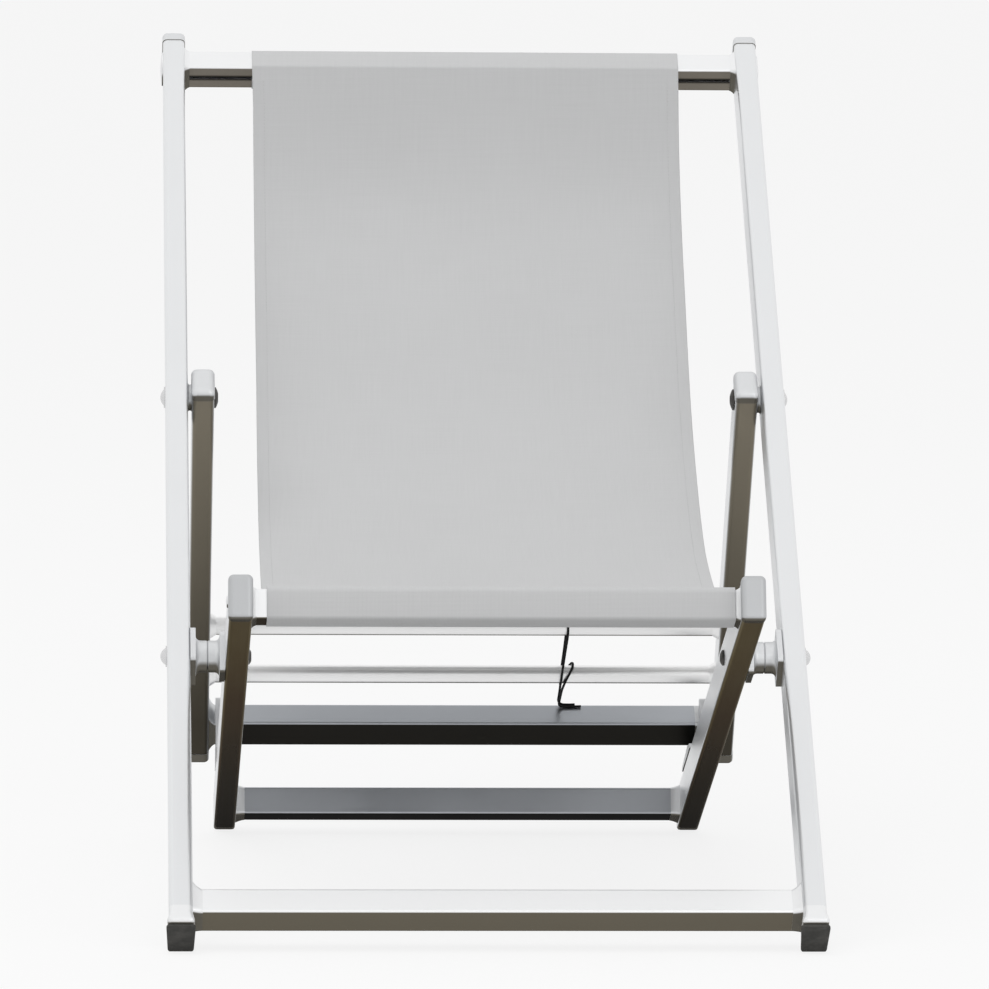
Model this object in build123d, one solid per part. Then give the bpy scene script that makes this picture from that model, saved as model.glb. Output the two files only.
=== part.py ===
"""Folding aluminium deck chair with a sling seat, modelled open at its upright setting.

Three nested frames are hinged to each other: the outer (back) frame, the inner
(seat) frame, and a strut frame whose lowest bar stands in a cradle on each
inner rail. The sling hangs between the head rail and the seat rail.

Millimetres. X runs across the chair, Y to the rear and Z up. The floor is z = 0
and the origin is under the middle of the bounding box.
"""
from build123d import *
from math import asin, cos, degrees, radians, sin, tan
import os

os.makedirs("parts", exist_ok=True)

# Driving dimensions: the three frames
overall_width = 600.0  # outside of the outer rails
frame_gap = 32.4  # between an outer and an inner rail
strut_gap = 4.0  # between an outer rail and a strut rail
outer_length = 1195.4  # foot pad to the end of the top cap
main_pivot_reach = 350.2  # foot pad to the pivot of the two big frames
strut_pivot_reach = 693.8  # foot pad to the strut pivot
seat_front_reach = 219.3  # main pivot to the front of the seat caps
strut_tail = 35.3  # lowest strut bar to the lower end
strut_head_reach = 23.0  # strut pivot to the top of its cap
back_angle = 40.34  # slope of the outer frame
seat_angle = 21.23  # slope of the inner frame
bar_lift = 62.2  # lowest strut bar above the middle of the inner rails

# Rails: rounded rectangular tube
rail_width = 21.6
rail_depth = 41.6
strut_depth = 38.0
rail_corner = 4.5
rail_wall = 1.8

# Crossbars
bar_size = 28.0
bar_corner = 2.2
strut_bar_size = 29.5
bar_wall = 1.8
front_bar_at = 33.7  # foot pad to the centre of the front crossbar
head_rail_from_end = 33.4  # end of the top cap to the centre of the head rail
head_rail_height = 25.0
head_rail_depth = 29.0
head_rail_corner = 3.0
seat_rail_from_end = 39.5  # front of the seat caps to the centre of the seat rail
rear_bar_from_end = 30.0  # rear pad to the centre of the rear crossbar
strut_bar_at = 419.2  # strut pivot to the lowest bar
mid_rung_above_bar = 67.4
upper_rung_above_bar = 129.8
rung_radius = 9.0
rung_wall = 1.5

# Channel for the sling's beading in the lower face of the head rail
channel_radius = 2.8
channel_mouth = 2.6
channel_lip = 1.5

# Flared sockets between crossbars and rails
front_socket_length = 9.0
front_socket_flare = 8.0
head_socket_length = 5.0
head_socket_flare = 3.4
seat_socket_length = 4.2
seat_socket_flare = 4.0
rear_socket_length = 9.0
rear_socket_flare = 5.0
strut_socket_length = 6.0
strut_socket_flare = 9.0
strut_socket_low_flare = 7.2
strut_socket_collar = 11.8  # straight part that grips the bar
socket_side_flare = 1.6
socket_lip = 0.5
socket_corner = 4.0
socket_shares = (0.0, 0.3, 0.65, 1.0)  # of the socket's length, from the rail inwards
spigot_length = 12.0
spigot_play = 0.2
rung_collar_length = 6.0
rung_collar_flare = 4.0

# Cast end caps
cap_length = 12.0
cap_overhang = 0.6
cap_round = 5.0
plug_length = 10.0
plug_play = 0.2
strut_cap_round = 7.0
strut_end_round = 4.0
strut_plug_length = 16.0  # reaches past the pivot bolt

# Feet
foot_length = 22.0
foot_flare_length = 12.0
foot_top_width = 27.6  # across the upper edge of the end face
foot_bottom_width = 23.6
foot_toe_round = 4.0  # over the upper edge of the end face
pad_thickness = 3.0
pad_round = 1.4
pad_setback = 4.6  # front pad below the upper edge of the end face
foot_sink = 1.6  # how far the pad's corner is cut away to stand flat
rear_foot_length = 13.0

# Main pivot: two mating cast bosses round an M8 bolt
bolt_radius = 4.0
boss_pad_length = 42.0
boss_pad_depth = 40.0
boss_pad_thickness = 5.0
boss_radius = 15.0
boss_fillet = 4.6
boss_chamfer = 0.8
running_gap = 0.2
bolt_play = 0.08
seat_play = 0.04

washer_radius = 10.0
washer_thickness = 1.4
dome_radius = 8.0
dome_height = 5.0
nut_radius = 7.5
nut_height = 4.0
strut_washer_radius = 10.4
strut_dome_height = 3.4
strut_nut_radius = 10.2
strut_nut_height = 4.2
collar_radius = 14.0
collar_waist = 12.6

# Covers of the crossbar screws on the outer faces
cover_radius = 16.8
cover_height = 2.6
cover_edge = 1.2
screw_radius = 4.0
small_cover_radius = 5.5
small_cover_height = 2.2
seat_screw_lift = 5.0  # above the middle of the inner rail

# Cradle for the strut bar on each inner rail: a flange with a notched plate
flange_front = 74.0  # ahead of the bar's centre
flange_rear = 26.0  # behind the bar's centre
flange_thickness = 4.2
flange_crest = 8.8
plate_thickness = 6.6
plate_foot = 24.0  # ahead of the notch
notch_play = 0.4
horn_height = 29.6  # of its upper corner above the notch's front corner
horn_width = 12.0
horn_round = 5.0
horn_lean = 3.4  # away from the bar at its tip
heel_round = 6.0
notch_round = 2.0
sill_length = 16.0
sill_rise = 0.8

# Sling: its sag and the shape of its curve between the two sleeves
sling_right_gap = 0.2  # from its edge to the seat rail's socket
sling_left_gap = 9.4  # it sits a little to one side
sling_sag = 181.0
sag_shares = ((0.11, 0.50), (0.24, 0.765), (0.37, 0.945), (0.50, 1.0), (0.64, 0.925),
              (0.78, 0.705), (0.92, 0.34))  # (of the chord, of the sag)
fabric = 1.2
sling_gap = 0.3
bead_play = 0.2

# Cord laced round the strut rungs
cord_radius = 1.2
cord_gap = 0.3
cord_run_share = 0.49  # of the shorter run beside a bend that its arc may use
cord_slant = 3.7  # between the places where it comes to and leaves a rung
cord_slack = 5.6  # of its first loose end, above the lowest bar
cord_hump = 9.1  # of its second loose end
cord_rise = 1.6

# Derived places
inner_width = overall_width - 2 * (rail_width + frame_gap)
strut_width = overall_width - 2 * (rail_width + strut_gap)
outer_x = overall_width / 2 - rail_width / 2
inner_x = inner_width / 2 - rail_width / 2
strut_x = strut_width / 2 - rail_width / 2
outer_face = overall_width / 2 - rail_width  # inner face of the outer rail
inner_face = inner_width / 2 - rail_width
seat_half = inner_face - seat_socket_length
sling_width = 2 * seat_half - sling_left_gap - sling_right_gap
sling_offset = (sling_left_gap - sling_right_gap) / 2
strut_face = strut_width / 2 - rail_width
half_depth = rail_depth / 2
back_rad, seat_rad = radians(back_angle), radians(seat_angle)
head_rail_at = outer_length - head_rail_from_end
seat_rail_at = seat_front_reach - seat_rail_from_end
mid_rung_at = strut_bar_at - mid_rung_above_bar
upper_rung_at = strut_bar_at - upper_rung_above_bar
strut_reach = strut_bar_at + strut_tail

foot_z = half_depth * cos(back_rad) - foot_sink
main_y = main_pivot_reach * cos(back_rad)
main_z = foot_z + main_pivot_reach * sin(back_rad)
strut_y = strut_pivot_reach * cos(back_rad)
strut_z = foot_z + strut_pivot_reach * sin(back_rad)
rear_reach = (main_z - half_depth * cos(seat_rad) + foot_sink) / sin(seat_rad)
rear_bar_at = rear_reach - rear_bar_from_end

# The strut stands with its lowest bar on the inner rails, which sets its slope
pivots_apart = strut_pivot_reach - main_pivot_reach
strut_pivot_lift = pivots_apart * sin(back_rad + seat_rad)
turn = asin((strut_pivot_lift - bar_lift) / strut_bar_at)
strut_rad = seat_rad + turn
bar_s = pivots_apart * cos(back_rad + seat_rad) + strut_bar_at * cos(turn)

# Frame coordinates: x across, y along the rails, z square to the frame.
# Outer rails run up to the rear, inner and strut rails down to the rear.
X_AXIS = (1, 0, 0)
outer_frame = Plane((0, 0, foot_z), x_dir=X_AXIS, z_dir=(0, -sin(back_rad), cos(back_rad)))
inner_frame = Plane((0, main_y, main_z), x_dir=X_AXIS, z_dir=(0, sin(seat_rad), cos(seat_rad)))
strut_frame = Plane((0, strut_y, strut_z), x_dir=X_AXIS, z_dir=(0, sin(strut_rad), cos(strut_rad)))

nodes = {}


def along(x, s):
    """Section plane square to a rail at length s, in frame coordinates."""
    return Plane((x, s, 0), x_dir=(-1, 0, 0), z_dir=(0, 1, 0))


def across(x, s, n=0):
    """Section plane square to a crossbar: its x runs along the rails, its y is n."""
    return Plane((x, s, n), x_dir=(0, 1, 0), z_dir=X_AXIS)


def rail_section(depth, grow=0.0):
    return RectangleRounded(rail_width + 2 * grow, depth + 2 * grow, rail_corner + grow)


def tube_bore(width, depth, corner, wall):
    return RectangleRounded(width - 2 * wall, depth - 2 * wall, corner - wall)


def cross_hole(x, s, radius, length):
    return across(x, s) * Cylinder(radius, length)


def rail(x, start, end, depth, holes=()):
    """Hollow rail from start to end with round cross holes at (place, radius)."""
    body = extrude(along(x, start) * rail_section(depth), end - start)
    body -= extrude(along(x, start) * tube_bore(rail_width, depth, rail_corner, rail_wall),
                    end - start)
    for place, radius in holes:
        body -= cross_hole(x, place, radius, 2 * rail_width)
    return body


def plug(x, joint, direction, depth, length=plug_length):
    """Part of a cap that slides into the rail's bore."""
    width = rail_width - 2 * (rail_wall + plug_play)
    height = depth - 2 * (rail_wall + plug_play)
    section = RectangleRounded(width, height, rail_corner - rail_wall - plug_play)
    return extrude(along(x, joint) * section, -direction * length)


def rounded_end(body, direction, rounding):
    """Round over the edges of the end that faces along or against the rail."""
    end = body.faces().sort_by(Axis.Y)[-1 if direction > 0 else 0]
    return fillet(end.edges(), rounding)


def end_cap(x, joint, direction, depth, rounding):
    """Cast cap: slightly proud of the rail, its outer edges rounded over."""
    shell = extrude(along(x, joint) * rail_section(depth, cap_overhang), direction * cap_length)
    return rounded_end(shell, direction, rounding)


def foot_section(x, s, setback=0.0):
    """End face of a front foot: wider along its upper edge than along its lower one."""
    top, bottom = foot_top_width / 2, foot_bottom_width / 2
    upper = half_depth - setback
    top = bottom + (top - bottom) * (upper + half_depth) / rail_depth
    corners = [(-bottom, -half_depth), (bottom, -half_depth), (top, upper), (-top, upper)]
    face = make_face(Polyline([Vector(u, v) for u, v in corners], close=True))
    return along(x, s) * fillet(face.vertices(), rail_corner)


def bar_tube(half_length, s, size=bar_size):
    """Square crossbar along X between two sockets."""
    start = across(-half_length, s)
    body = extrude(start * RectangleRounded(size, size, bar_corner), 2 * half_length)
    return body - extrude(start * tube_bore(size, size, bar_corner, bar_wall), 2 * half_length)


def flared(face_x, s, height, depth, length, flare_down, flare_up):
    """Right-hand flare from the rail's inner face to the crossbar's end.

    It spreads by flare_down towards the lower s and by flare_up towards the higher s.
    """
    sections = []
    for share in socket_shares:
        spread = (1 - share) ** 1.5
        size_s = height + 2 * socket_lip + (flare_down + flare_up) * spread
        size_n = depth + 2 * socket_lip + 2 * socket_side_flare * spread
        place = across(face_x - share * length, s + (flare_up - flare_down) * spread / 2)
        sections.append(place * RectangleRounded(size_s, size_n, socket_corner))
    return loft(sections)


def spigot(face_x, s, height, depth):
    """End of a casting that slides into a crossbar's bore."""
    section = RectangleRounded(height - 2 * spigot_play, depth - 2 * spigot_play,
                               bar_corner - bar_wall)
    return extrude(across(face_x, s) * section, -spigot_length)


def socket(face_x, s, length, flare_down, flare_up):
    """Flared casting with its spigot, for a square crossbar."""
    bore = bar_size - 2 * bar_wall
    body = flared(face_x, s, bar_size, bar_size, length, flare_down, flare_up)
    return body + spigot(face_x - length, s, bore, bore)


def dome(x0, s, radius, height, direction):
    """Low spherical cap standing on the plane x = x0."""
    ball = (radius ** 2 + height ** 2) / (2 * height)
    half_angle = asin(radius / ball) / 2
    centre = x0 + direction * (height - ball)
    middle = (centre + direction * ball * cos(half_angle), s + ball * sin(half_angle))
    tip = (x0 + direction * height, s)
    outline = Line((x0, s), (x0, s + radius)) + ThreePointArc((x0, s + radius), middle, tip)
    outline += Line(tip, (x0, s))
    return revolve(make_face(outline), Axis((0, s, 0), X_AXIS), 360)


def screw_cover(inner_x_face, outer_x_face, s, radius, height):
    """Screw through the rail with a low domed cover on its outer face."""
    shank = across((inner_x_face + outer_x_face) / 2, s) * Cylinder(
        screw_radius, outer_x_face - inner_x_face)
    edge = across(outer_x_face + cover_edge / 2, s) * Cylinder(radius, cover_edge)
    return shank + edge + dome(outer_x_face + cover_edge, s, radius, height - cover_edge, 1)


def bolt(head_x, shank_end, s, washer_r, dome_r, dome_h):
    """Bolt from the outer face inwards, with a washer and a domed head outside."""
    shank = across((head_x + shank_end) / 2, s) * Cylinder(bolt_radius, head_x - shank_end)
    washer = across(head_x + washer_thickness / 2, s) * Cylinder(washer_r, washer_thickness)
    return shank + washer + dome(head_x + washer_thickness, s, dome_r, dome_h, 1)


def nut(x_face, s, radius, height):
    """Low domed nut on an inner face, bored for the bolt."""
    rim = height / 3
    base = across(x_face - rim / 2, s) * Cylinder(radius, rim)
    body = base + dome(x_face - rim, s, radius, height - rim, -1)
    return body - across(x_face - height / 2, s) * Cylinder(bolt_radius + seat_play, 2 * height)


def boss(face_x, direction, s, bore):
    """Half of the pivot spacer: square pad on the rail, filleted into a round hub."""
    middle = (outer_face + inner_width / 2) / 2
    tip = middle - direction * running_gap / 2
    step = face_x + direction * boss_pad_thickness
    neck = step + direction * boss_fillet
    edge = tip - direction * boss_chamfer
    wide = boss_radius + boss_fillet
    bend = boss_fillet * (1 - cos(radians(45)))
    pad = across(face_x, s) * RectangleRounded(boss_pad_length, boss_pad_depth, rail_corner)
    outline = Polyline([(face_x, s), (face_x, s + wide), (step, s + wide)])
    outline += ThreePointArc((step, s + wide), (step + direction * bend, s + boss_radius + bend),
                             (neck, s + boss_radius))
    outline += Polyline([(neck, s + boss_radius), (edge, s + boss_radius),
                         (tip, s + boss_radius - boss_chamfer), (tip, s), (face_x, s)])
    hub = revolve(make_face(outline), Axis((0, s, 0), X_AXIS), 360)
    body = extrude(pad, direction * boss_pad_thickness) + hub
    return body - cross_hole(face_x, s, bore, overall_width)


def both(name, solid, plane):
    """Store a right-hand piece and its mirror image in the part's frame."""
    placed = plane.location * solid
    nodes[name + "_right"] = placed
    nodes[name + "_left"] = mirror(placed, about=Plane.YZ)


def one(name, solid, plane):
    nodes[name] = plane.location * solid


# Outer frame
tube_start = foot_length
tube_end = outer_length - cap_length
outer_holes = ((main_pivot_reach, bolt_radius + seat_play),
               (strut_pivot_reach, bolt_radius + seat_play),
               (head_rail_at, screw_radius + seat_play))
both("outer_rail", rail(outer_x, tube_start, tube_end, rail_depth, outer_holes), outer_frame)
both("top_cap", end_cap(outer_x, tube_end, 1, rail_depth, cap_round)
     + plug(outer_x, tube_end, 1, rail_depth), outer_frame)
flare_start = pad_thickness + foot_flare_length
front_foot = plug(outer_x, tube_start, -1, rail_depth)
front_foot += extrude(along(outer_x, flare_start) * rail_section(rail_depth),
                      tube_start - flare_start)
flare = loft([along(0, flare_start) * rail_section(rail_depth),
              foot_section(0, pad_thickness)], ruled=True)
toe_edges = flare.faces().sort_by(Axis.Y)[0].edges().sort_by(Axis.Z)
front_foot += Pos(outer_x, 0, 0) * fillet(toe_edges[-1], foot_toe_round)
both("front_foot", front_foot, outer_frame)
front_pad = extrude(foot_section(outer_x, 0, pad_setback), pad_thickness)
both("front_pad", rounded_end(front_pad, -1, pad_round), outer_frame)

front_half = outer_face - front_socket_length
one("front_crossbar", bar_tube(front_half, front_bar_at), outer_frame)
both("front_socket", socket(outer_face, front_bar_at, front_socket_length, 0,
                            front_socket_flare), outer_frame)

# Head rail, with the channel for the sling's beading along its lower face
head_half = outer_face - head_socket_length
lower_face = head_rail_at - head_rail_height / 2
channel_at = lower_face + channel_lip + channel_radius
cavity_start = channel_at + channel_radius + bar_wall
cavity_end = head_rail_at + head_rail_height / 2 - bar_wall
cavity_at = (cavity_start + cavity_end) / 2
cavity_height = cavity_end - cavity_start
cavity_depth = head_rail_depth - 2 * bar_wall
head = extrude(across(-head_half, head_rail_at)
               * RectangleRounded(head_rail_height, head_rail_depth, head_rail_corner),
               2 * head_half)
head -= extrude(across(-head_half, cavity_at)
                * RectangleRounded(cavity_height, cavity_depth, head_rail_corner - bar_wall),
                2 * head_half)
head -= across(0, channel_at) * Cylinder(channel_radius, 2 * head_half)
head -= extrude(across(-head_half, lower_face)
                * Rectangle(2 * (channel_at - lower_face), channel_mouth), 2 * head_half)
one("head_rail", head, outer_frame)

# Its sockets are screwed through the rails from outside
head_socket = flared(outer_face, head_rail_at, head_rail_height, head_rail_depth,
                     head_socket_length, head_socket_flare, head_socket_flare)
head_socket += spigot(head_half, cavity_at, cavity_height, cavity_depth)
head_socket += screw_cover(outer_face, overall_width / 2, head_rail_at, cover_radius,
                           cover_height)
both("head_socket", head_socket, outer_frame)

# Main pivot
both("outer_boss", boss(outer_face, -1, main_pivot_reach, bolt_radius + seat_play), outer_frame)
nut_seat = inner_face - running_gap
both("main_bolt", bolt(overall_width / 2, nut_seat - nut_height / 2, main_pivot_reach,
                       washer_radius, dome_radius, dome_height), outer_frame)
both("main_nut", nut(nut_seat, main_pivot_reach, nut_radius, nut_height), outer_frame)

# Strut pivot
strut_nut_seat = strut_face - running_gap
both("strut_bolt", bolt(overall_width / 2, strut_nut_seat - strut_nut_height / 2,
                        strut_pivot_reach, strut_washer_radius, dome_radius,
                        strut_dome_height), outer_frame)
both("strut_nut", nut(strut_nut_seat, strut_pivot_reach, strut_nut_radius, strut_nut_height),
     outer_frame)

# Inner frame
seat_cap_joint = cap_length - seat_front_reach
rear_joint = rear_reach - rear_foot_length
inner_rail = rail(inner_x, seat_cap_joint, rear_joint, rail_depth,
                  ((0, bolt_radius + bolt_play),))
seat_screw = across(inner_x, -seat_rail_at, seat_screw_lift)
both("inner_rail", inner_rail - seat_screw * Cylinder(screw_radius + seat_play, 2 * rail_width),
     inner_frame)
both("seat_cap", end_cap(inner_x, seat_cap_joint, -1, rail_depth, cap_round)
     + plug(inner_x, seat_cap_joint, -1, rail_depth), inner_frame)
both("rear_foot", plug(inner_x, rear_joint, 1, rail_depth)
     + extrude(along(inner_x, rear_joint) * rail_section(rail_depth),
               rear_foot_length - pad_thickness), inner_frame)
both("rear_pad", rounded_end(extrude(along(inner_x, rear_reach) * rail_section(rail_depth),
                                     -pad_thickness), 1, pad_round), inner_frame)

one("seat_rail", bar_tube(seat_half, -seat_rail_at), inner_frame)
both("seat_socket", socket(inner_face, -seat_rail_at, seat_socket_length, seat_socket_flare,
                           seat_socket_flare)
     + Pos(0, 0, seat_screw_lift)
     * screw_cover(inner_face, inner_width / 2, -seat_rail_at, small_cover_radius,
                   small_cover_height), inner_frame)

rear_half = inner_face - rear_socket_length
one("rear_crossbar", bar_tube(rear_half, rear_bar_at), inner_frame)
both("rear_socket", socket(inner_face, rear_bar_at, rear_socket_length, rear_socket_flare,
                           rear_socket_flare), inner_frame)
both("inner_boss", boss(inner_width / 2, 1, 0, bolt_radius + bolt_play), inner_frame)

# Strut frame
strut_top_joint = cap_length - strut_head_reach
strut_end_joint = strut_reach - cap_length
strut_holes = ((0, bolt_radius + bolt_play),)
both("strut_rail", rail(strut_x, strut_top_joint, strut_end_joint, strut_depth, strut_holes),
     strut_frame)
strut_cap = end_cap(strut_x, strut_top_joint, -1, strut_depth, strut_cap_round)
strut_cap += plug(strut_x, strut_top_joint, -1, strut_depth, strut_plug_length)
strut_cap -= cross_hole(strut_x, 0, bolt_radius + bolt_play, 2 * rail_width)
collar_seat = across((strut_width + rail_width) / 2, 0) * Cylinder(
    collar_radius + running_gap, rail_width)
both("strut_cap", strut_cap - collar_seat, strut_frame)
both("strut_end", end_cap(strut_x, strut_end_joint, 1, strut_depth, strut_end_round)
     + plug(strut_x, strut_end_joint, 1, strut_depth), strut_frame)

# The sockets of the lowest bar have a straight collar ahead of their flare
gripped = strut_face - strut_socket_length
strut_half = gripped - strut_socket_collar
one("strut_bar", bar_tube(strut_half, strut_bar_at, strut_bar_size), strut_frame)
collar_size = strut_bar_size + 2 * socket_lip
strut_socket = flared(strut_face, strut_bar_at, strut_bar_size, strut_bar_size,
                      strut_socket_length, strut_socket_flare, strut_socket_low_flare)
strut_socket += extrude(across(gripped, strut_bar_at)
                        * RectangleRounded(collar_size, collar_size, socket_corner),
                        -strut_socket_collar)
bar_bore = strut_bar_size - 2 * bar_wall
strut_socket += spigot(strut_half, strut_bar_at, bar_bore, bar_bore)
both("strut_socket", strut_socket, strut_frame)


def rung(s):
    """Round tube between the strut rails with a small weld flare at each end."""
    body = across(0, s) * Cylinder(rung_radius, 2 * strut_face)
    for side in (1, -1):
        x = side * (strut_face - rung_collar_length / 2)
        ends = (rung_radius, rung_radius + rung_collar_flare)
        inner_end, outer_end = ends if side > 0 else reversed(ends)
        body += across(x, s) * Cone(inner_end, outer_end, rung_collar_length)
    return body - across(0, s) * Cylinder(rung_radius - rung_wall, strut_width)


one("mid_rung", rung(mid_rung_at), strut_frame)
one("upper_rung", rung(upper_rung_at), strut_frame)

# Collar between the strut rail and the outer rail, waisted between its two faces
collar_inner = strut_width / 2
collar_outer = outer_face - running_gap
collar_mid = (collar_inner + collar_outer) / 2
collar_outline = Line((collar_inner, 0), (collar_inner, collar_radius))
collar_outline += ThreePointArc((collar_inner, collar_radius), (collar_mid, collar_waist),
                                (collar_outer, collar_radius))
collar_outline += Polyline([(collar_outer, collar_radius), (collar_outer, 0), (collar_inner, 0)])
collar = revolve(make_face(collar_outline), Axis.X, 360)
both("strut_collar", collar - cross_hole(collar_mid, 0, bolt_radius + bolt_play, rail_width),
     strut_frame)

# Cord laced round the two rungs, its loose ends lying on top of the lowest bar.
# Places are (across, along the strut, square to it), going round a rung at wrap.
wrap = rung_radius + cord_radius + cord_gap
mid_top, mid_bottom = mid_rung_at - wrap, mid_rung_at + wrap
rung_top = upper_rung_at - wrap
on_bar = strut_bar_at - strut_bar_size / 2 - cord_radius - cord_gap
cord_route = [
    (121.0, on_bar, 8.8), (111.0, on_bar, 7.0), (101.5, on_bar, 8.4),
    (97.6, on_bar - cord_slack, 8.0), (100.5, mid_bottom + cord_slant, -6.0), (112.5, mid_top, -15.7),
    (110.5, mid_top, wrap), (104.0, mid_bottom, wrap), (97.6, mid_bottom, -wrap),
    (103.2, rung_top, -wrap), (105.6, rung_top, wrap), (99.4, mid_top + cord_slant, wrap + cord_radius),
    (96.2, on_bar - cord_hump, 13.2), (97.4, on_bar - cord_rise, 13.0), (105.0, on_bar, 12.4),
    (115.0, on_bar, 11.6),
]
cord_radii = []
for before, corner, after in zip(cord_route, cord_route[1:], cord_route[2:]):
    run_in = Vector(*corner) - Vector(*before)
    run_out = Vector(*after) - Vector(*corner)
    bend = radians(run_in.get_angle(run_out)) / 2
    shorter = min(run_in.length, run_out.length)
    cord_radii.append(min(cord_run_share * shorter / tan(bend), 6 * wrap))
for index in (4, 5, 6, 7, 8, 9):
    cord_radii[index] = min(cord_radii[index], wrap)
cord_path = FilletPolyline(*cord_route, radius=cord_radii)
cord_start = Plane(cord_path @ 0, z_dir=cord_path % 0)
cord = sweep(cord_start * Circle(cord_radius), path=cord_path)
one("cord", cord, strut_frame)

# Cradle: a low flange on top of the inner rail carries a plate at its outer edge,
# notched for the socket of the lowest strut bar. The notch follows the two front
# faces of the bar and its horn stands ahead of it. Behind the bar it is only a low
# sill, so that the bar can leave to the rear as the chair folds.
notch_half = collar_size / 2 + notch_play


def beside_bar(down, up):
    """Point beside the bar: down along the strut, up square to it."""
    return (bar_s + down * cos(turn) + up * sin(turn), bar_lift - down * sin(turn) + up * cos(turn))


def corner_at(face, point):
    """The corner of a section that lies at a point."""
    return face.vertices().sort_by_distance(Vector(*point))[0]


low = beside_bar(notch_half, -notch_half)
front = beside_bar(-notch_half, -notch_half)
horn_reach = (horn_height - (horn_lean + horn_width) * sin(turn)) / cos(turn) - notch_half
horn_tip = beside_bar(-notch_half - horn_lean, horn_reach)
horn_back = beside_bar(-notch_half - horn_lean - horn_width, horn_reach)
lip = beside_bar(-notch_half, horn_lean)
toe, heel = bar_s - flange_front, bar_s + flange_rear
plate_toe = (front[0] - plate_foot, half_depth + flange_crest)
sill = (low[0] + sill_length, low[1] + sill_rise)
plate_heel = (heel, half_depth + flange_thickness)
plate_outline = [(plate_toe[0], half_depth), plate_toe, horn_back, horn_tip, lip, front, low,
                 sill, plate_heel, (heel, half_depth)]
plate = make_face(Polyline([Vector(s, n) for s, n in plate_outline], close=True))
plate = fillet([corner_at(plate, horn_back), corner_at(plate, horn_tip)], horn_round)
plate = fillet(corner_at(plate, sill), heel_round)
plate = fillet(corner_at(plate, front), notch_round)
flange_outline = [(toe, half_depth), (toe, half_depth + flange_thickness), plate_toe,
                  plate_heel, (heel, half_depth)]
flange = make_face(Polyline([Vector(s, n) for s, n in flange_outline], close=True))
both("cradle", extrude(across(inner_width / 2, 0) * plate, -plate_thickness)
     + extrude(across(inner_face, 0) * flange, rail_width), inner_frame)


# Sling: its fabric wraps the head rail and ends in a bead in the rail's channel.
# On the seat rail it is a closed pocket.
def fabric_round(s, height, depth, corner):
    """One layer of fabric round a crossbar."""
    start = across(sling_offset - sling_width / 2, s)
    layer = extrude(start * RectangleRounded(height + 2 * fabric, depth + 2 * fabric,
                                             corner + fabric), sling_width)
    return layer - extrude(start * RectangleRounded(height, depth, corner), sling_width)


hem_half = channel_mouth / 2 - bead_play
leave_n = head_rail_depth / 2 - head_rail_corner / 5
opening = across(sling_offset - sling_width / 2, lower_face, (hem_half + leave_n) / 2)
head_sleeve = fabric_round(head_rail_at, head_rail_height, head_rail_depth, head_rail_corner)
head_sleeve -= extrude(opening * Rectangle(head_rail_corner, leave_n - hem_half), sling_width)
hem = across(sling_offset - sling_width / 2, (lower_face - fabric + channel_at) / 2)
head_sleeve += extrude(hem * Rectangle(channel_at - lower_face + fabric, 2 * hem_half),
                       sling_width)
head_sleeve += across(sling_offset, channel_at) * Cylinder(channel_radius - bead_play,
                                                           sling_width)
one("head_sleeve", head_sleeve, outer_frame)
one("seat_sleeve", fabric_round(-seat_rail_at, bar_size, bar_size, bar_corner), inner_frame)

# The sling hangs in a curve from the lower front corner of the head rail to the
# upper rear corner of the seat rail.
head_edge = outer_frame.from_local_coords(
    Vector(0, lower_face - sling_gap, leave_n - fabric / 2 - sling_gap))
seat_edge = inner_frame.from_local_coords(
    Vector(0, -seat_rail_at + bar_size / 2 + fabric + sling_gap, bar_size / 2))
chord = seat_edge - head_edge
below = Vector(0, -chord.Z, chord.Y).normalized()
points = [head_edge + chord * a + below * (b * sling_sag) for a, b in sag_shares]
middle_line = Spline(head_edge, *points, seat_edge)
samples = 24
upper_side, lower_side = [], []
for i in range(samples + 1):
    at, tangent = middle_line @ (i / samples), middle_line % (i / samples)
    across_fabric = Vector(0, -tangent.Z, tangent.Y) * (fabric / 2)
    upper_side.append(at + across_fabric)
    lower_side.append(at - across_fabric)
top_curve, low_curve = Spline(*upper_side), Spline(*lower_side)
sling_face = make_face([top_curve, Line(top_curve @ 1, low_curve @ 1), low_curve,
                        Line(low_curve @ 0, top_curve @ 0)])
nodes["sling"] = Pos(sling_offset, 0, 0) * extrude(sling_face, sling_width / 2, dir=X_AXIS,
                                                   both=True)

# Everything that touches the floor is cut flat there
floor = Pos(0, 0, -rail_depth) * Box(2 * overall_width, 3 * outer_length, 2 * rail_depth)
for name in list(nodes):
    if name.startswith(("front_foot", "front_pad", "rear_foot", "rear_pad")):
        nodes[name] = nodes[name] - floor

# Move the origin under the middle of the bounding box
low_y = min(shape.bounding_box().min.Y for shape in nodes.values())
high_y = max(shape.bounding_box().max.Y for shape in nodes.values())
shift = -(low_y + high_y) / 2
for name, shape in nodes.items():
    placed = Pos(0, shift, 0) * shape
    solids = placed.solids()
    result = solids[0] if len(solids) == 1 else Compound(solids)
    export_step(result, f"parts/{name}.step")

print("main pivot", round(main_y + shift, 3), round(main_z, 3))
print("strut pivot", round(strut_y + shift, 3), round(strut_z, 3))
print("shift", round(shift, 3), "rear reach", round(rear_reach, 2))
print("bar in inner frame", round(bar_s, 2), bar_lift)
print("strut slope", round(degrees(strut_rad), 3))
print("sling length", round(middle_line.length, 1), "nodes", len(nodes))
print("cord radii", [round(r, 1) for r in cord_radii])
print("cord volume", round(cord.volume, 1), "section x length",
      round(cord_path.length * Circle(cord_radius).area, 1))
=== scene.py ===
"""Folding aluminium deck chair with a sling seat, dressed with its finishes and cloth.

Metres, in the frame of the CAD model: X across the chair, Y to the rear, Z up, and
the floor at z = 0.
"""

import bmesh
import bpy
from math import cos, pi, radians, sin
from mathutils import Matrix, Vector
import numpy as np


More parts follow.
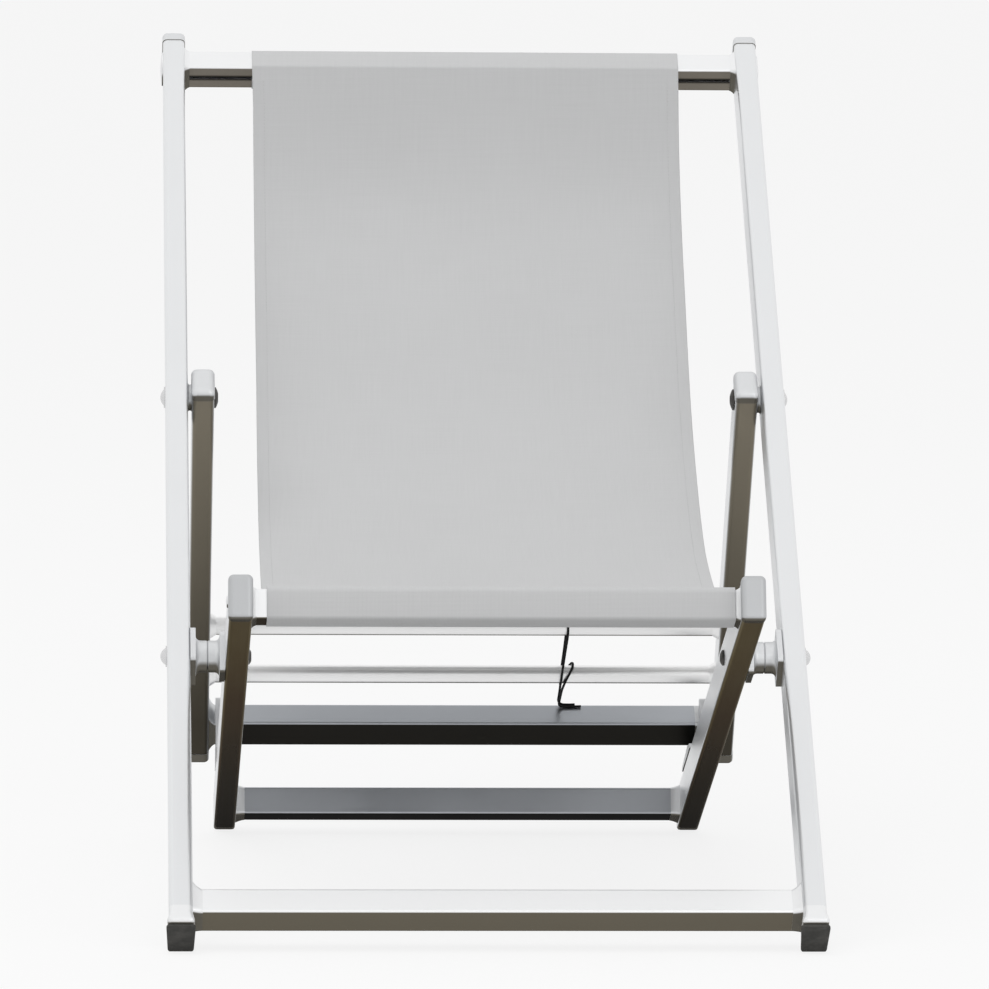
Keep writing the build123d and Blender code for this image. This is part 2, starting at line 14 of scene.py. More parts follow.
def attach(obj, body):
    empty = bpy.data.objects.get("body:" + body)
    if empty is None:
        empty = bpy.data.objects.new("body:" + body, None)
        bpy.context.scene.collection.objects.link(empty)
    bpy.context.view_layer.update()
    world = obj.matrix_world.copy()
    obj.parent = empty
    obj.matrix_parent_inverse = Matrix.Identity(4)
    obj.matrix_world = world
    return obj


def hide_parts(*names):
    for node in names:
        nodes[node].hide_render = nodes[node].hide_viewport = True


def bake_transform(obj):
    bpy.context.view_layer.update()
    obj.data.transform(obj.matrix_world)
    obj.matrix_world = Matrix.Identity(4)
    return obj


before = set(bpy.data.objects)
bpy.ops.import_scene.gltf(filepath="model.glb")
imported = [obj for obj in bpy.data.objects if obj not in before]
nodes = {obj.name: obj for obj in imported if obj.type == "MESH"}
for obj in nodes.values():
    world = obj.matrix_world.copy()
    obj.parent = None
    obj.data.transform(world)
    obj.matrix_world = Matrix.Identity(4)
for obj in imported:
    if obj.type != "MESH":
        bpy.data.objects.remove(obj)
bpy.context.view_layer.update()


# Camera: a long lens 7.7 m in front of the chair, 0.4 m to the left of its middle and
# 1.1 m above the floor, looking slightly down.
camera_place = (-0.38182, -7.66195, 1.10219)
camera_pan, camera_tilt, camera_roll = radians(-2.976), radians(84.599), radians(0.475)
camera = bpy.data.objects.new("camera", bpy.data.cameras.new("camera"))
bpy.context.scene.collection.objects.link(camera)
camera.data.sensor_width = 36.0
camera.data.lens = 291.23
camera.data.clip_end = 400.0
camera.matrix_world = (Matrix.Translation(camera_place)
                       @ Matrix.Rotation(camera_pan, 4, "Z")
                       @ Matrix.Rotation(camera_tilt, 4, "X")
                       @ Matrix.Rotation(camera_roll, 4, "Z"))
bpy.context.scene.camera = camera


# Cord: a thin black braided cord laced round the two strut rungs. Both of its loose
# ends lie on top of the lowest bar.
def add_piece(name, data, finish=None):
    """Object at the origin whose place is in its data."""
    piece = bpy.data.objects.new(name, data)
    bpy.context.scene.collection.objects.link(piece)
    if finish:
        data.materials.append(finish)
    return piece


class Finish:
    """A material with one Principled shader and the textures that drive it.

    Names of the shader's sockets have _ in place of a space.
    """

    def __init__(self, name, **sockets):
        self.material = bpy.data.materials.new(name)
        self.material.use_nodes = True
        self.tree = self.material.node_tree
        self.shader = self.tree.nodes["Principled BSDF"]
        for socket, value in sockets.items():
            self.shader.inputs[socket.replace("_", " ")].default_value = value

    def node(self, kind, **settings):
        made = self.tree.nodes.new("ShaderNode" + kind)
        for name, value in settings.items():
            setattr(made, name, value)
        return made

    def link(self, source, target):
        self.tree.links.new(source, target)

    def drive(self, **sources):
        """Feeds sockets of the shader."""
        for socket, source in sources.items():
            self.link(source, self.shader.inputs[socket.replace("_", " ")])

    def place(self, scale=(1, 1, 1), turn=0.0, source="Object"):
        """Coordinates, turned about X so that a pattern runs along a rail, and scaled."""
        coordinates = self.node("TexCoord")
        mapping = self.node("Mapping", vector_type="TEXTURE")
        mapping.inputs["Rotation"].default_value = (turn, 0, 0)
        stretch = self.node("VectorMath", operation="MULTIPLY")
        stretch.inputs[1].default_value = scale
        self.link(coordinates.outputs[source], mapping.inputs["Vector"])
        self.link(mapping.outputs["Vector"], stretch.inputs[0])
        return stretch.outputs["Vector"]

    def noise(self, vector, scale, detail=2.0):
        cloud = self.node("TexNoise")
        cloud.inputs["Scale"].default_value = scale
        cloud.inputs["Detail"].default_value = detail
        self.link(vector, cloud.inputs["Vector"])
        return cloud.outputs["Fac"]

    def span(self, value, low, high, start=0.3, end=0.7, smooth=False):
        """Maps a value from start..end to low..high."""
        ranged = self.node("MapRange")
        if smooth:
            ranged.interpolation_type = "SMOOTHSTEP"
        for socket, number in (("From Min", start), ("From Max", end), ("To Min", low),
                               ("To Max", high)):
            ranged.inputs[socket].default_value = number
        self.link(value, ranged.inputs["Value"])
        return ranged.outputs["Result"]

    def maths(self, operation, first, second=0.0):
        """Sum, product or the like of two values, each a number or a socket."""
        worked = self.node("Math", operation=operation)
        for place, value in enumerate((first, second)):
            if isinstance(value, (int, float)):
                worked.inputs[place].default_value = value
            else:
                self.link(value, worked.inputs[place])
        return worked.outputs[0]

    def mix(self, share, first, second, blend="MIX"):
        """Mixes two colours, each a fixed one or a socket."""
        mixed = self.node("Mix", data_type="RGBA", blend_type=blend)
        for socket, value in ((0, share), (6, first), (7, second)):
            if isinstance(value, tuple):
                mixed.inputs[socket].default_value = (*value, 1.0)
            elif isinstance(value, float):
                mixed.inputs[socket].default_value = value
            else:
                self.link(value, mixed.inputs[socket])
        return mixed.outputs[2]

    def bump(self, height, strength, distance):
        raised = self.node("Bump")
        raised.inputs["Strength"].default_value = strength
        raised.inputs["Distance"].default_value = distance
        self.link(height, raised.inputs["Height"])
        return raised.outputs["Normal"]


braid = Finish("cord_braid", Roughness=0.8, Specular_IOR_Level=0.2)
strands = braid.node("TexWave", bands_direction="DIAGONAL")
strands.inputs["Scale"].default_value = 260.0  # a strand every 2.4 mm
strands.inputs["Distortion"].default_value = 2.0
braid.link(braid.place(), strands.inputs["Vector"])
braid.drive(Base_Color=braid.mix(strands.outputs["Fac"], (0.004, 0.004, 0.004),
                                 (0.014, 0.014, 0.015)),
            Normal=braid.bump(strands.outputs["Fac"], 0.6, 0.0002))

cord_diameter = 0.0024
cord_route = [
    (0.1210, 0.30539, 0.13451), (0.1125, 0.30490, 0.13418), (0.0980, 0.30440, 0.13384),
    (0.0992, 0.29255, 0.14396), (0.0998, 0.27636, 0.15375), (0.1005, 0.26503, 0.15879),
    (0.1028, 0.25718, 0.16617), (0.1074, 0.25622, 0.17516), (0.1104, 0.26269, 0.18131),
    (0.1096, 0.27162, 0.18308), (0.1046, 0.27990, 0.17539), (0.0992, 0.28109, 0.16680),
    (0.0976, 0.27013, 0.15872), (0.0980, 0.25922, 0.16332), (0.0990, 0.25094, 0.17764),
    (0.1014, 0.23401, 0.20289), (0.1026, 0.22426, 0.21562), (0.1023, 0.22123, 0.22803),
    (0.1020, 0.23292, 0.23611), (0.1023, 0.24395, 0.22882), (0.1024, 0.25350, 0.21476),
    (0.1008, 0.27037, 0.19067), (0.0997, 0.27906, 0.17844), (0.0999, 0.28925, 0.16360),
    (0.0989, 0.29881, 0.14936), (0.0975, 0.30772, 0.13607), (0.1122, 0.30739, 0.13585),
    (0.1148, 0.30780, 0.13613),
]
cord_line = bpy.data.curves.new("laced_cord", "CURVE")
cord_line.dimensions = "3D"
cord_line.bevel_depth = cord_diameter / 2
cord_line.bevel_resolution = 4
cord_line.resolution_u = 12
cord_line.use_fill_caps = True
route = cord_line.splines.new("NURBS")
route.points.add(len(cord_route) - 1)
for point, place in zip(route.points, cord_route):
    point.co = (*place, 1.0)
route.order_u = 3
route.use_endpoint_u = True
cord = add_piece("laced_cord", cord_line, braid.material)
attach(cord, "strut_frame")
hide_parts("cord")


# Sling: one length of woven polyester mesh. Its bead is held in the channel of the
# head rail, it goes round that rail, hangs to the seat rail, goes round it and is sewn
# to its own underside.
back_slope, seat_slope = radians(40.34), radians(21.23)
foot_at, seat_pivot = (-0.456523, 0.014255), (-0.189594, 0.240946)  # (y, z)
head_rail_at, seat_rail_at = 1.1620, -0.1798  # along the outer and the inner frame
cloth_thickness, cloth_gap = 0.0011, 0.0007  # the gap is from a rail to the cloth's middle
cloth_left, cloth_right = -0.2108, 0.2200
cloth_width = cloth_right - cloth_left


def on_back(s, n):
    """Place (y, z) at s along the outer frame and n square to it."""
    return Vector((foot_at[0] + s * cos(back_slope) - n * sin(back_slope),
                   foot_at[1] + s * sin(back_slope) + n * cos(back_slope)))


def on_seat(s, n):
    """Place (y, z) at s along the inner frame, to the rear, and n square to it."""
    return Vector((seat_pivot[0] + s * cos(seat_slope) + n * sin(seat_slope),
                   seat_pivot[1] - s * sin(seat_slope) + n * cos(seat_slope)))


def arc(middle, radius, start, end, steps=6):
    """Points (s, n) of an arc whose angles count from the s axis, in degrees."""
    angles = [radians(start + (end - start) * i / steps) for i in range(steps + 1)]
    return [(middle[0] + radius * cos(a), middle[1] + radius * sin(a)) for a in angles]


def smooth_line(points, leaving, arriving, steps):
    """Curve with even curvature through some points, with given headings at its ends."""
    gaps = [(b - a).length for a, b in zip(points, points[1:])]
    count = len(points)
    left, right = np.eye(count), np.zeros((count, 2))
    right[0], right[-1] = leaving, arriving
    for i in range(1, count - 1):
        before, after = gaps[i - 1], gaps[i]
        left[i, i - 1:i + 2] = after, 2 * (before + after), before
        right[i] = 3 * (after / before * (points[i] - points[i - 1])
                        + before / after * (points[i + 1] - points[i]))
    headings = np.linalg.solve(left, right)
    line = [points[0]]
    for i, gap in enumerate(gaps):
        h0, h1 = Vector(headings[i]) * gap, Vector(headings[i + 1]) * gap
        for k in range(1, steps + 1):
            t = k / steps
            line.append(points[i] * (1 + 2 * t) * (1 - t) ** 2 + h0 * t * (1 - t) ** 2
                        + points[i + 1] * t * t * (3 - 2 * t) + h1 * t * t * (t - 1))
    return line


# From the bead out of the channel and round the head rail, in places (along, square)
# from the rail's middle
bead_along = -0.0082
mouth_along, mouth_radius = -0.0122, 0.0010
head_corner, head_radius = (0.0095, 0.0115), 0.0030 + cloth_gap
around_head = [(bead_along, 0.0), (-0.0104, 0.0)]
around_head += arc((mouth_along, -mouth_radius), mouth_radius, 90, 180)
around_head += arc((-head_corner[0], -head_corner[1]), head_radius, 180, 270)
around_head += arc((head_corner[0], -head_corner[1]), head_radius, 270, 360)
around_head += arc(head_corner, head_radius, 0, 90)
around_head += arc((-head_corner[0], head_corner[1]), head_radius, 90, 133)
cloth_line = [on_back(head_rail_at + s, n) for s, n in around_head]

# The hanging part, which sags below a straight line between the rails. Its shares are
# of that line's length and of the sag.
head_edge, seat_edge = on_back(head_rail_at - 0.0128, 0.0130), on_seat(-0.1643, 0.0140)
chord = seat_edge - head_edge
below = Vector((-chord.y, chord.x)).normalized()
sag = 0.181
sag_shares = ((0.11, 0.50), (0.24, 0.765), (0.37, 0.945), (0.50, 1.0), (0.64, 0.925),
              (0.78, 0.705), (0.92, 0.34))
pocket_middle, pocket_radius = (-0.0081, 0.0101), 0.0069  # the cloth stands off the edge
seat_top = on_seat(seat_rail_at + pocket_middle[0], pocket_middle[1] + pocket_radius)
hanging_points = [cloth_line[-1]] + [head_edge + chord * a + below * (b * sag)
                                     for a, b in sag_shares] + [seat_top]
hang_start = len(cloth_line) - 1
down_heading = (cloth_line[-1] - cloth_line[-2]).normalized()
forward_heading = on_seat(-1, 0) - on_seat(0, 0)
cloth_line += smooth_line(hanging_points, down_heading, forward_heading, steps=20)[1:]
hang_end = len(cloth_line) - 1

# Round the seat rail and back along its own underside, which makes the pocket
seat_corner, seat_radius = 0.0118, 0.0022 + cloth_gap
rear_face = seat_rail_at + seat_corner + seat_radius
overlap_from, pocket_overlap, overlap_drop = 0.0135, 0.020, 0.0013
around_seat = arc(pocket_middle, pocket_radius, 90, 180, 10)[1:]
around_seat += arc((-seat_corner, -seat_corner), seat_radius, 180, 270)
around_seat += arc((seat_corner, -seat_corner), seat_radius, 270, 360)
cloth_line += [on_seat(seat_rail_at + s, n) for s, n in around_seat]
cloth_line += [on_seat(rear_face, 0.0040), on_seat(rear_face + 0.0006, 0.0095)]
underside = []
travelled = 0.0
for i in range(hang_end, hang_start, -1):
    travelled += (cloth_line[i] - cloth_line[i - 1]).length
    heading = (cloth_line[i] - cloth_line[i - 1]).normalized()
    if overlap_from < travelled < overlap_from + pocket_overlap:
        underside.append(cloth_line[i - 1] + Vector((-heading.y, heading.x)) * overlap_drop)
cloth_line += underside
cloth_run = np.concatenate([[0.0], np.cumsum([(b - a).length for a, b in
                                              zip(cloth_line, cloth_line[1:])])])
cloth_y = np.array([p.x for p in cloth_line])
cloth_z = np.array([p.y for p in cloth_line])
hang_from, hang_to = cloth_run[hang_start], cloth_run[hang_end]

# The stretched cloth is pulled out of true: how far each edge is to the right of its
# straight line, at shares of the hanging length, and how far the middle dips
left_pull = ((0.0, 0.0004), (0.04, 0.0015), (0.15, 0.0022), (0.36, 0.0025), (0.46, 0.0019),
             (0.54, 0.0015), (0.62, 0.0010), (0.70, 0.0006), (0.78, 0.0))
right_pull = ((0.0, 0.0002), (0.07, 0.0006), (0.15, 0.0015), (0.25, 0.0019), (0.36, 0.0017),
              (0.50, 0.0012), (0.58, 0.0004), (0.66, -0.0007), (0.78, -0.0008), (0.90, 0.0))
middle_dip = 0.0035


def cloth_place(v):
    """Place (y, z) of the cloth at a length along it."""
    return np.array([np.interp(v, cloth_run, cloth_y), np.interp(v, cloth_run, cloth_z)])


def on_cloth(across, v, lift=0.0):
    """Point at a share of the width and at a length along the sling."""
    share = (v - hang_from) / (hang_to - hang_from)
    left = cloth_left + np.interp(share, *zip(*left_pull))
    right = cloth_right + np.interp(share, *zip(*right_pull))
    step = 0.0008
    heading = cloth_place(v + step) - cloth_place(v - step)
    heading /= np.linalg.norm(heading)
    hanging = min(max(share, 0.0), 1.0)
    dip = middle_dip * sin(pi * hanging) ** 2 * (1 - (2 * across - 1) ** 2)
    here = cloth_place(v) + np.array([heading[1], -heading[0]]) * (lift - dip)
    return Vector((left + (right - left) * across, here[0], here[1]))


def as_mesh(name, shape):
    """Mesh of a finished bmesh."""
    mesh = bpy.data.meshes.new(name)
    shape.to_mesh(mesh)
    shape.free()
    return mesh


def woven_strip(name, columns, rows, lift=0.0):
    """Strip of the cloth, from a grid, with its own size in metres as UV map.

    Columns are shares of the width and rows are lengths along the cloth.
    """
    last_column, last_row = len(columns) - 1, len(rows) - 1
    strip = bmesh.new()
    layer = strip.loops.layers.uv.new("cloth")
    bmesh.ops.create_grid(strip, x_segments=last_column, y_segments=last_row, size=0.5,
                          calc_uvs=True)
    bmesh.ops.reverse_faces(strip, faces=strip.faces)
    for face in strip.faces:
        face.smooth = True
        for corner in face.loops:
            u, v = corner[layer].uv
            corner[layer].uv = (columns[round(u * last_column)] * cloth_width,
                                rows[round(v * last_row)])
    for vertex in strip.verts:
        vertex.co = on_cloth(columns[round((vertex.co.x + 0.5) * last_column)],
                             rows[round((vertex.co.y + 0.5) * last_row)], lift)
    return as_mesh(name, strip)


def give_thickness(piece, thickness):
    """Solid cloth with the strip in its middle."""
    shell = piece.modifiers.new("thickness", "SOLIDIFY")
    shell.thickness = thickness
    shell.offset = 0.0


fabric = Finish("sling_weave", Sheen_Weight=0.12, Sheen_Roughness=0.5,
                Specular_IOR_Level=0.3)
threads = fabric.place(source="UV")
weft = fabric.node("TexWave", bands_direction="Y")
warp = fabric.node("TexWave", bands_direction="X")
for yarn in (weft, warp):
    yarn.inputs["Scale"].default_value = 262.0  # a yarn every 1.2 mm
    yarn.inputs["Distortion"].default_value = 0.25
    yarn.inputs["Detail"].default_value = 1.0
    fabric.link(threads, yarn.inputs["Vector"])
weave = fabric.maths("MULTIPLY", weft.outputs["Fac"], warp.outputs["Fac"])
warp_shade = fabric.noise(fabric.place((900, 14, 1), source="UV"), 1.0)
weft_shade = fabric.noise(fabric.place((14, 900, 1), source="UV"), 1.0)
cloud = fabric.noise(fabric.place(source="UV"), 9.0, 3.0)
tone = fabric.maths("ADD", fabric.span(warp_shade, -0.012, 0.012),
                    fabric.span(weft_shade, -0.012, 0.012))
tone = fabric.maths("ADD", tone, fabric.span(cloud, -0.008, 0.008))
tone = fabric.maths("ADD", tone, fabric.span(weave, 0.95, 1.02, 0.0, 1.0))
fabric.drive(Base_Color=fabric.mix(tone, (0.0, 0.0, 0.0), (0.615, 0.618, 0.622)),
             Roughness=fabric.span(weave, 0.84, 0.72, 0.0, 1.0),
             Normal=fabric.bump(weave, 0.35, 0.0003))

edge_shares = [0.0, 0.002, 0.012]  # narrow columns keep the cut edges crisp
cloth_columns = (edge_shares + list(np.linspace(0.03, 0.97, 36))
                 + [1 - share for share in reversed(edge_shares)])
sling = add_piece("sling_cloth", woven_strip("sling_cloth", cloth_columns, list(cloth_run)),
                  fabric.material)
give_thickness(sling, cloth_thickness)
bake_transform(sling)
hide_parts("sling", "head_sleeve", "seat_sleeve")

# Side hems, turned under and sewn down
hem_width, hem_thickness, hem_lift = 0.014, 0.0010, -0.00118
hem_rows = list(np.linspace(hang_from + 0.010, hang_to - 0.046, 150))
hem_share = hem_width / cloth_width
hem_columns = [hem_share * share for share in (0.0, 0.05, 0.5, 0.95, 1.0)]
sewn = []
for name, columns in (("sling_hem_left", hem_columns),
                      ("sling_hem_right", [1 - share for share in reversed(hem_columns)])):
    hem = add_piece(name, woven_strip(name, columns, hem_rows, hem_lift), fabric.material)
    give_thickness(hem, hem_thickness)
    sewn.append(hem)

# Stitches of the hems and of the pocket round the seat rail
stitch_size = (0.00028, 0.0013, 0.00022)  # half its width, length and height
stitch_pitch = 0.0036
hem_seams_at, pocket_seams_at = 0.80, (0.020, 0.027)  # a share of the hem, and lengths
thread = Finish("sewing_thread", Roughness=0.6, Sheen_Weight=0.1)
twist = thread.noise(thread.place(), 900.0)
thread.drive(Base_Color=thread.mix(twist, (0.47, 0.47, 0.475), (0.58, 0.58, 0.585)))


def stitch_row(name, places):
    """One small rounded stitch at each place (across, v, lift, along or across)."""
    row = bmesh.new()
    for across, v, lift, along in places:
        ahead = on_cloth(across, v + 0.001, lift) - on_cloth(across, v - 0.001, lift)
        side = on_cloth(across + 0.002, v, lift) - on_cloth(across - 0.002, v, lift)
        y_axis = ahead.normalized() if along else side.normalized()
        x_axis = side.normalized() if along else ahead.normalized()
        z_axis = x_axis.cross(y_axis).normalized()
        turn = Matrix((x_axis, y_axis, z_axis)).transposed().to_4x4()
        bmesh.ops.create_icosphere(
            row, subdivisions=1, radius=1.0,
            matrix=(Matrix.Translation(on_cloth(across, v, lift)) @ turn
                    @ Matrix.Diagonal((*stitch_size, 1.0))))
    for face in row.faces:
        face.smooth = True
    return as_mesh(name, row)


top_lift = cloth_thickness / 2
hem_under, pocket_under = hem_lift - hem_thickness / 2, -overlap_drop - cloth_thickness / 2
hem_places = []
for across in (hem_share * hem_seams_at, 1 - hem_share * hem_seams_at):
    for v in np.arange(hem_rows[0] + 0.004, hem_rows[-1] - 0.002, stitch_pitch):
        hem_places += [(across, v, top_lift, True), (across, v, hem_under, True)]
pocket_places = []
for back in pocket_seams_at:
    for across in np.arange(0.006, 0.994, stitch_pitch / cloth_width):
        pocket_places += [(across, hang_to - back, top_lift, False),
                          (across, hang_to - back, pocket_under, False)]
for name, places in (("sling_hem_stitches", hem_places),
                     ("sling_pocket_stitches", pocket_places)):
    sewn.append(add_piece(name, stitch_row(name, places), thread.material))
for piece in sewn:
    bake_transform(piece)

# Bead: a plastic rod in the cloth's end, held in the channel of the head rail
bead_radius = 0.0025
plastic = Finish("bead_plastic", Roughness=0.45)
plastic.drive(Base_Color=plastic.mix(plastic.noise(plastic.place(), 400.0),
                                     (0.50, 0.50, 0.50), (0.56, 0.56, 0.56)))
rod = bmesh.new()
bmesh.ops.create_cone(rod, cap_ends=True, segments=20, radius1=bead_radius,
                      radius2=bead_radius, depth=cloth_width,
                      matrix=Matrix.Rotation(pi / 2, 4, "Y"))
bmesh.ops.bevel(rod, geom=[e for e in rod.edges if e.calc_face_angle(0) > 1.0], offset=0.0005,
                segments=2, profile=0.5, affect="EDGES", material=-1)
bead_at = on_back(head_rail_at + bead_along, 0.0)
bmesh.ops.translate(rod, verts=rod.verts,
                    vec=((cloth_left + cloth_right) / 2, bead_at.x, bead_at.y))
for face in rod.faces:
    face.smooth = len(face.verts) == 4
bead = add_piece("sling_bead", as_mesh("sling_bead", rod), plastic.material)
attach(bead, "back_frame")


# Rails and crossbars: extruded aluminium tube with a satin anodised finish. Fine die
# lines run along each piece, and the sides that face the ground carry painted shade.
def give(finish, *names):
    """Puts a finish on CAD nodes; a name without its side stands for the pair."""
    for name in names:
        for node in (name, name + "_left", name + "_right"):
            if node in nodes:
                for slot in nodes[node].material_slots:
                    slot.material = finish.material


def colour_by_side(finish, colour, ground_shade_colour, cloud, slopes=(-0.12, -0.50), shade=None,
                   shade_ramp=None):
    """Metal colour with painted shade on the sides that face the ground.

    There the colour is painted darker and browner and the gloss is painted dimmer, as the
    shadow and the dark ground that these sides would mirror. Slopes are the height of the
    normal where this starts and where it is full. Shade is how far the metal is painted
    black as shade, and the last argument dims that painted shade along the piece.
    """
    normal = finish.node("TexCoord")
    split = finish.node("SeparateXYZ")
    finish.link(normal.outputs["Normal"], split.inputs["Vector"])
    # Masks of the sides that face the ground, where shade is painted into the colour
    painted_shade_mask = finish.span(split.outputs["Z"], 1.0, 0.0, slopes[1], slopes[0], smooth=True)
    deep_shade_mask = finish.span(split.outputs["Z"], 1.0, 0.0, -0.88, -0.68, smooth=True)
    bright = finish.mix(cloud, tuple(0.95 * c for c in colour), colour)
    painted_underside = finish.mix(deep_shade_mask, ground_shade_colour, tuple(0.60 * c for c in ground_shade_colour))
    # Painted dark reflection: the gloss of those sides is tinted down
    painted_dark_gloss = finish.mix(painted_shade_mask, (1.0, 1.0, 1.0), tuple(1.5 * c for c in ground_shade_colour))
    if shade_ramp:
        painted_underside = finish.mix(1.0, painted_underside, shade_ramp, "MULTIPLY")
    if shade:
        painted_underside = finish.mix(shade, painted_underside, (0.004, 0.004, 0.004))
        painted_dark_gloss = finish.mix(shade, painted_dark_gloss, (0.02, 0.02, 0.02))
    finish.drive(Base_Color=finish.mix(painted_shade_mask, bright, painted_underside), Specular_Tint=painted_dark_gloss)


def extruded(name, turn, colour=(0.83, 0.84, 0.85), ground_shade_colour=(0.150, 0.134, 0.104),
             slopes=(-0.12, -0.50), channel_at=None, underside_ramp=None):
    """Satin anodised tube whose die lines run along Y once turned about X.

    Without a turn they run along X. A channel along X, at a height square to the outer
    frame, is painted black as shade. The last argument is an axis and two pairs of a place
    on it and how bright the painted shade on the sides that face the ground is there.
    """
    finish = Finish(name, Metallic=0.92)
    scale = (8, 900, 900) if turn is None else (900, 8, 900)
    lines = finish.noise(finish.place(scale, turn or 0.0), 1.0, 3.0)
    cloud = finish.noise(finish.place(), 14.0, 4.0)
    shade = None
    # Painted shade: the metal turns black within a few millimetres of the channel's line
    if channel_at:
        height = finish.node("SeparateXYZ")
        finish.link(finish.place(turn=back_slope), height.inputs["Vector"])
        beside = finish.maths("ABSOLUTE", finish.maths("SUBTRACT", height.outputs["Z"],
                                                       channel_at))
        shade = finish.span(beside, 1.0, 0.0, 0.0012, 0.0048, smooth=True)
    # Painted shade along the piece: the painted underside grows lighter or darker from one
    # place to another
    shade_ramp = None
    if underside_ramp:
        axis, (start, first), (end, last) = underside_ramp
        spot = finish.node("SeparateXYZ")
        finish.link(finish.place(), spot.inputs["Vector"])
        shade_ramp = finish.span(spot.outputs[axis], first, last, start, end)
    colour_by_side(finish, colour, ground_shade_colour, cloud, slopes, shade, shade_ramp)
    finish.drive(Roughness=finish.maths("ADD", finish.span(lines, 0.33, 0.38),
                                        finish.span(cloud, -0.03, 0.03)),
                 Normal=finish.bump(lines, 0.10, 0.00015))
    return finish


strut_slope = radians(56.15)
channel_height = foot_at[1] * cos(back_slope) - foot_at[0] * sin(back_slope)
give(extruded("outer_rail_metal", back_slope), "outer_rail")
# On the inner rails the painted shade darkens toward the rear, under the seat; on the strut
# rails it lightens upward
give(extruded("inner_rail_metal", -seat_slope, underside_ramp=("Y", (-0.33, 2.0), (0.40, 0.25))),
     "inner_rail")
give(extruded("strut_rail_metal", -strut_slope, underside_ramp=("Z", (0.12, 0.35), (0.46, 1.45))),
     "strut_rail")
give(extruded("crossbar_metal", None, (0.95, 0.955, 0.96)), "front_crossbar", "seat_rail")
give(extruded("head_rail_metal", None, (0.92, 0.925, 0.93), (0.210, 0.190, 0.160),
              channel_at=channel_height), "head_rail")
# The strut bar and rear crossbar are the same aluminium, painted darker as the shade of the
# sling above them, and near black below
give(extruded("lower_bar_painted_shade", None, (0.47, 0.49, 0.52), (0.018, 0.017, 0.015)),
     "strut_bar", "rear_crossbar")
# The rungs are painted whiter than the rails as light on them, and their painted underside
# shade keeps to faces that point straight down
give(extruded("rung_painted_light", None, (0.95, 0.95, 0.95), slopes=(-0.80, -0.95)),
     "mid_rung", "upper_rung")


# Castings: caps, feet, sockets, pivot bosses, collars and cradles, of die cast
# aluminium, bead blasted and anodised, pressed or screwed to the tubes.
def casting(name, colour):
    """Cast metal with a fine blasted grit over slow unevenness, and painted shade on the
    sides that face the ground.
    """
    cast = Finish(name, Metallic=0.75)
    grit = cast.noise(cast.place(), 1400.0, 2.0)
    skin = cast.noise(cast.place(), 40.0, 4.0)
    colour_by_side(cast, colour, (0.150, 0.140, 0.118), skin)
    cast.drive(Roughness=cast.maths("ADD", cast.span(grit, 0.44, 0.54),
                                    cast.span(skin, -0.04, 0.04)),
               Normal=cast.bump(grit, 0.18, 0.0002))
    return cast


# One cast aluminium in three brightnesses: the seat caps painted darker as shade, the front
# feet and the front, head and seat sockets painted lighter as light on them
give(casting("cast_painted_shade", (0.55, 0.56, 0.57)), "seat_cap")
give(casting("cast_aluminium", (0.75, 0.76, 0.77)), "top_cap", "outer_boss", "rear_foot",
     "rear_socket", "inner_boss", "cradle", "strut_cap", "strut_end", "strut_socket",
     "strut_collar")
give(casting("cast_painted_light", (0.90, 0.905, 0.91)), "front_foot", "front_socket",
     "head_socket", "seat_socket")


# Pivot bolts: stainless steel with low domed heads on washers, and their dark
# zinc-nickel plated lock nuts.
steel = Finish("bolt_steel", Metallic=1.0)
turned = steel.noise(steel.place((60, 900, 900)), 1.0, 2.0)
steel.drive(Base_Color=steel.mix(turned, (0.62, 0.62, 0.62), (0.74, 0.74, 0.75)),
            Roughness=steel.span(turned, 0.20, 0.32),
            Normal=steel.bump(turned, 0.08, 0.0001))
give(steel, "main_bolt", "strut_bolt")

plated = Finish("nut_dark", Metallic=0.9)
plating = plated.noise(plated.place(), 500.0, 3.0)
plated.drive(Base_Color=plated.mix(plating, (0.055, 0.052, 0.048), (0.095, 0.090, 0.084)),
             Roughness=plated.span(plating, 0.34, 0.50),
             Normal=plated.bump(plating, 0.1, 0.0001))
give(plated, "main_nut", "strut_nut")


# Foot pads: moulded black rubber, pushed onto the four feet and scuffed where they
# stand.
rubber = Finish("dark_rubber", Specular_IOR_Level=0.35)
mottle = rubber.noise(rubber.place(), 260.0, 4.0)
scuff = rubber.noise(rubber.place((1, 1, 2)), 60.0, 5.0)
rubber.drive(Base_Color=rubber.mix(rubber.span(scuff, 0.0, 1.0, 0.45, 0.75),
                                   (0.052, 0.051, 0.047), (0.095, 0.092, 0.085)),
             Roughness=rubber.span(mottle, 0.62, 0.82),
             Normal=rubber.bump(mottle, 0.25, 0.0003))
give(rubber, "front_pad", "rear_pad")


# Floor: one plain pale surface that runs on out of sight and keeps the shadow. To the
# camera it is nearly as bright as the surround.
ground = bmesh.new()
bmesh.ops.create_grid(ground, x_segments=1, y_segments=1, size=150.0)
paper = bpy.data.materials.new("floor_paper")
paper.use_nodes = True
paper_nodes, paper_links = paper.node_tree.nodes, paper.node_tree.links
matt = paper_nodes["Principled BSDF"]
matt.inputs["Base Color"].default_value = (0.62, 0.62, 0.62, 1.0)
matt.inputs["Roughness"].default_value = 0.9
glow = paper_nodes.new("ShaderNodeEmission")
glow.inputs["Color"].default_value = (1.0, 1.0, 1.0, 1.0)
glow.inputs["Strength"].default_value = 1.06
blend_in = paper_nodes.new("ShaderNodeMixShader")


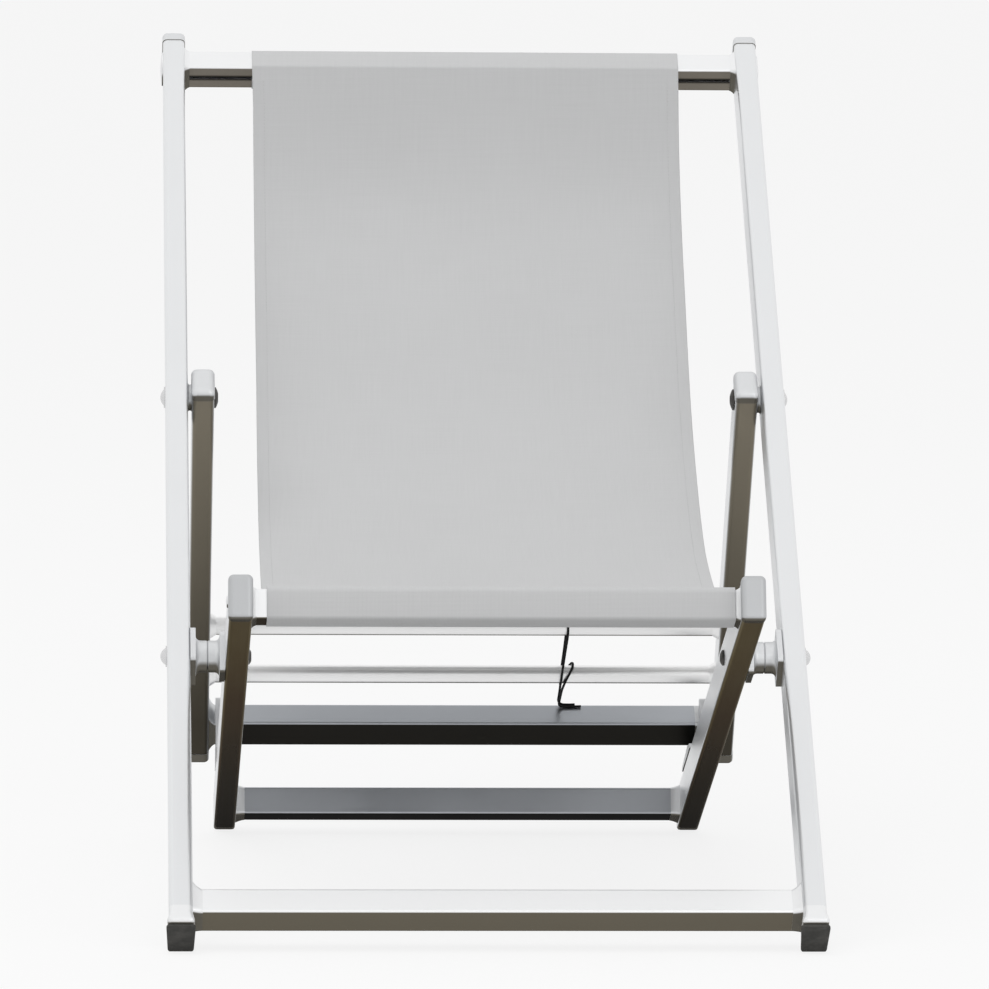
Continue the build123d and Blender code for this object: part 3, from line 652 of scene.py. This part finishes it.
def seen_directly(tree, unseen, seen):
    """A number that is one value to the camera, gloss and glass, and another to the rest."""
    rays = tree.nodes.new("ShaderNodeLightPath")
    last = rays.outputs["Is Camera Ray"]
    for kind in ("Is Glossy Ray", "Is Transmission Ray"):
        either = tree.nodes.new("ShaderNodeMath")
        either.operation = "MAXIMUM"
        tree.links.new(last, either.inputs[0])
        tree.links.new(rays.outputs[kind], either.inputs[1])
        last = either.outputs[0]
    level = tree.nodes.new("ShaderNodeMapRange")
    level.inputs["To Min"].default_value = unseen
    level.inputs["To Max"].default_value = seen
    tree.links.new(last, level.inputs["Value"])
    return level.outputs["Result"]


paper_links.new(seen_directly(paper.node_tree, 0.0, 0.78), blend_in.inputs["Fac"])
paper_links.new(matt.outputs["BSDF"], blend_in.inputs[1])
paper_links.new(glow.outputs["Emission"], blend_in.inputs[2])
paper_links.new(blend_in.outputs["Shader"], paper_nodes["Material Output"].inputs["Surface"])
floor = add_piece("floor", as_mesh("floor", ground), paper)


# Light: an even pale surround, a large soft box above and to the left, and a weak one
# from the front right.
world = bpy.data.worlds.new("surround")
bpy.context.scene.world = world
world.use_nodes = True
surround = world.node_tree.nodes["Background"]
surround.inputs["Color"].default_value = (1.0, 1.0, 1.0, 1.0)
world.node_tree.links.new(seen_directly(world.node_tree, 0.58, 0.97),
                          surround.inputs["Strength"])


def soft_box(name, place, size, power):
    """Square area light that faces the middle of the chair."""
    lamp = bpy.data.lights.new(name, "AREA")
    lamp.shape = "SQUARE"
    lamp.size = size
    lamp.energy = power
    box = bpy.data.objects.new(name, lamp)
    bpy.context.scene.collection.objects.link(box)
    direction = Vector((0.0, 0.0, 0.3)) - Vector(place)
    box.matrix_world = (Matrix.Translation(place)
                        @ direction.to_track_quat("-Z", "Y").to_matrix().to_4x4())
    return box


key = soft_box("key", place=(-1.6, -1.6, 5.4), size=5.5, power=150.0)
key.visible_glossy = False  # the metals mirror the even surround
soft_box("fill", place=(2.2, -4.2, 1.6), size=2.4, power=22.0)
bpy.context.scene.view_settings.view_transform = "Standard"
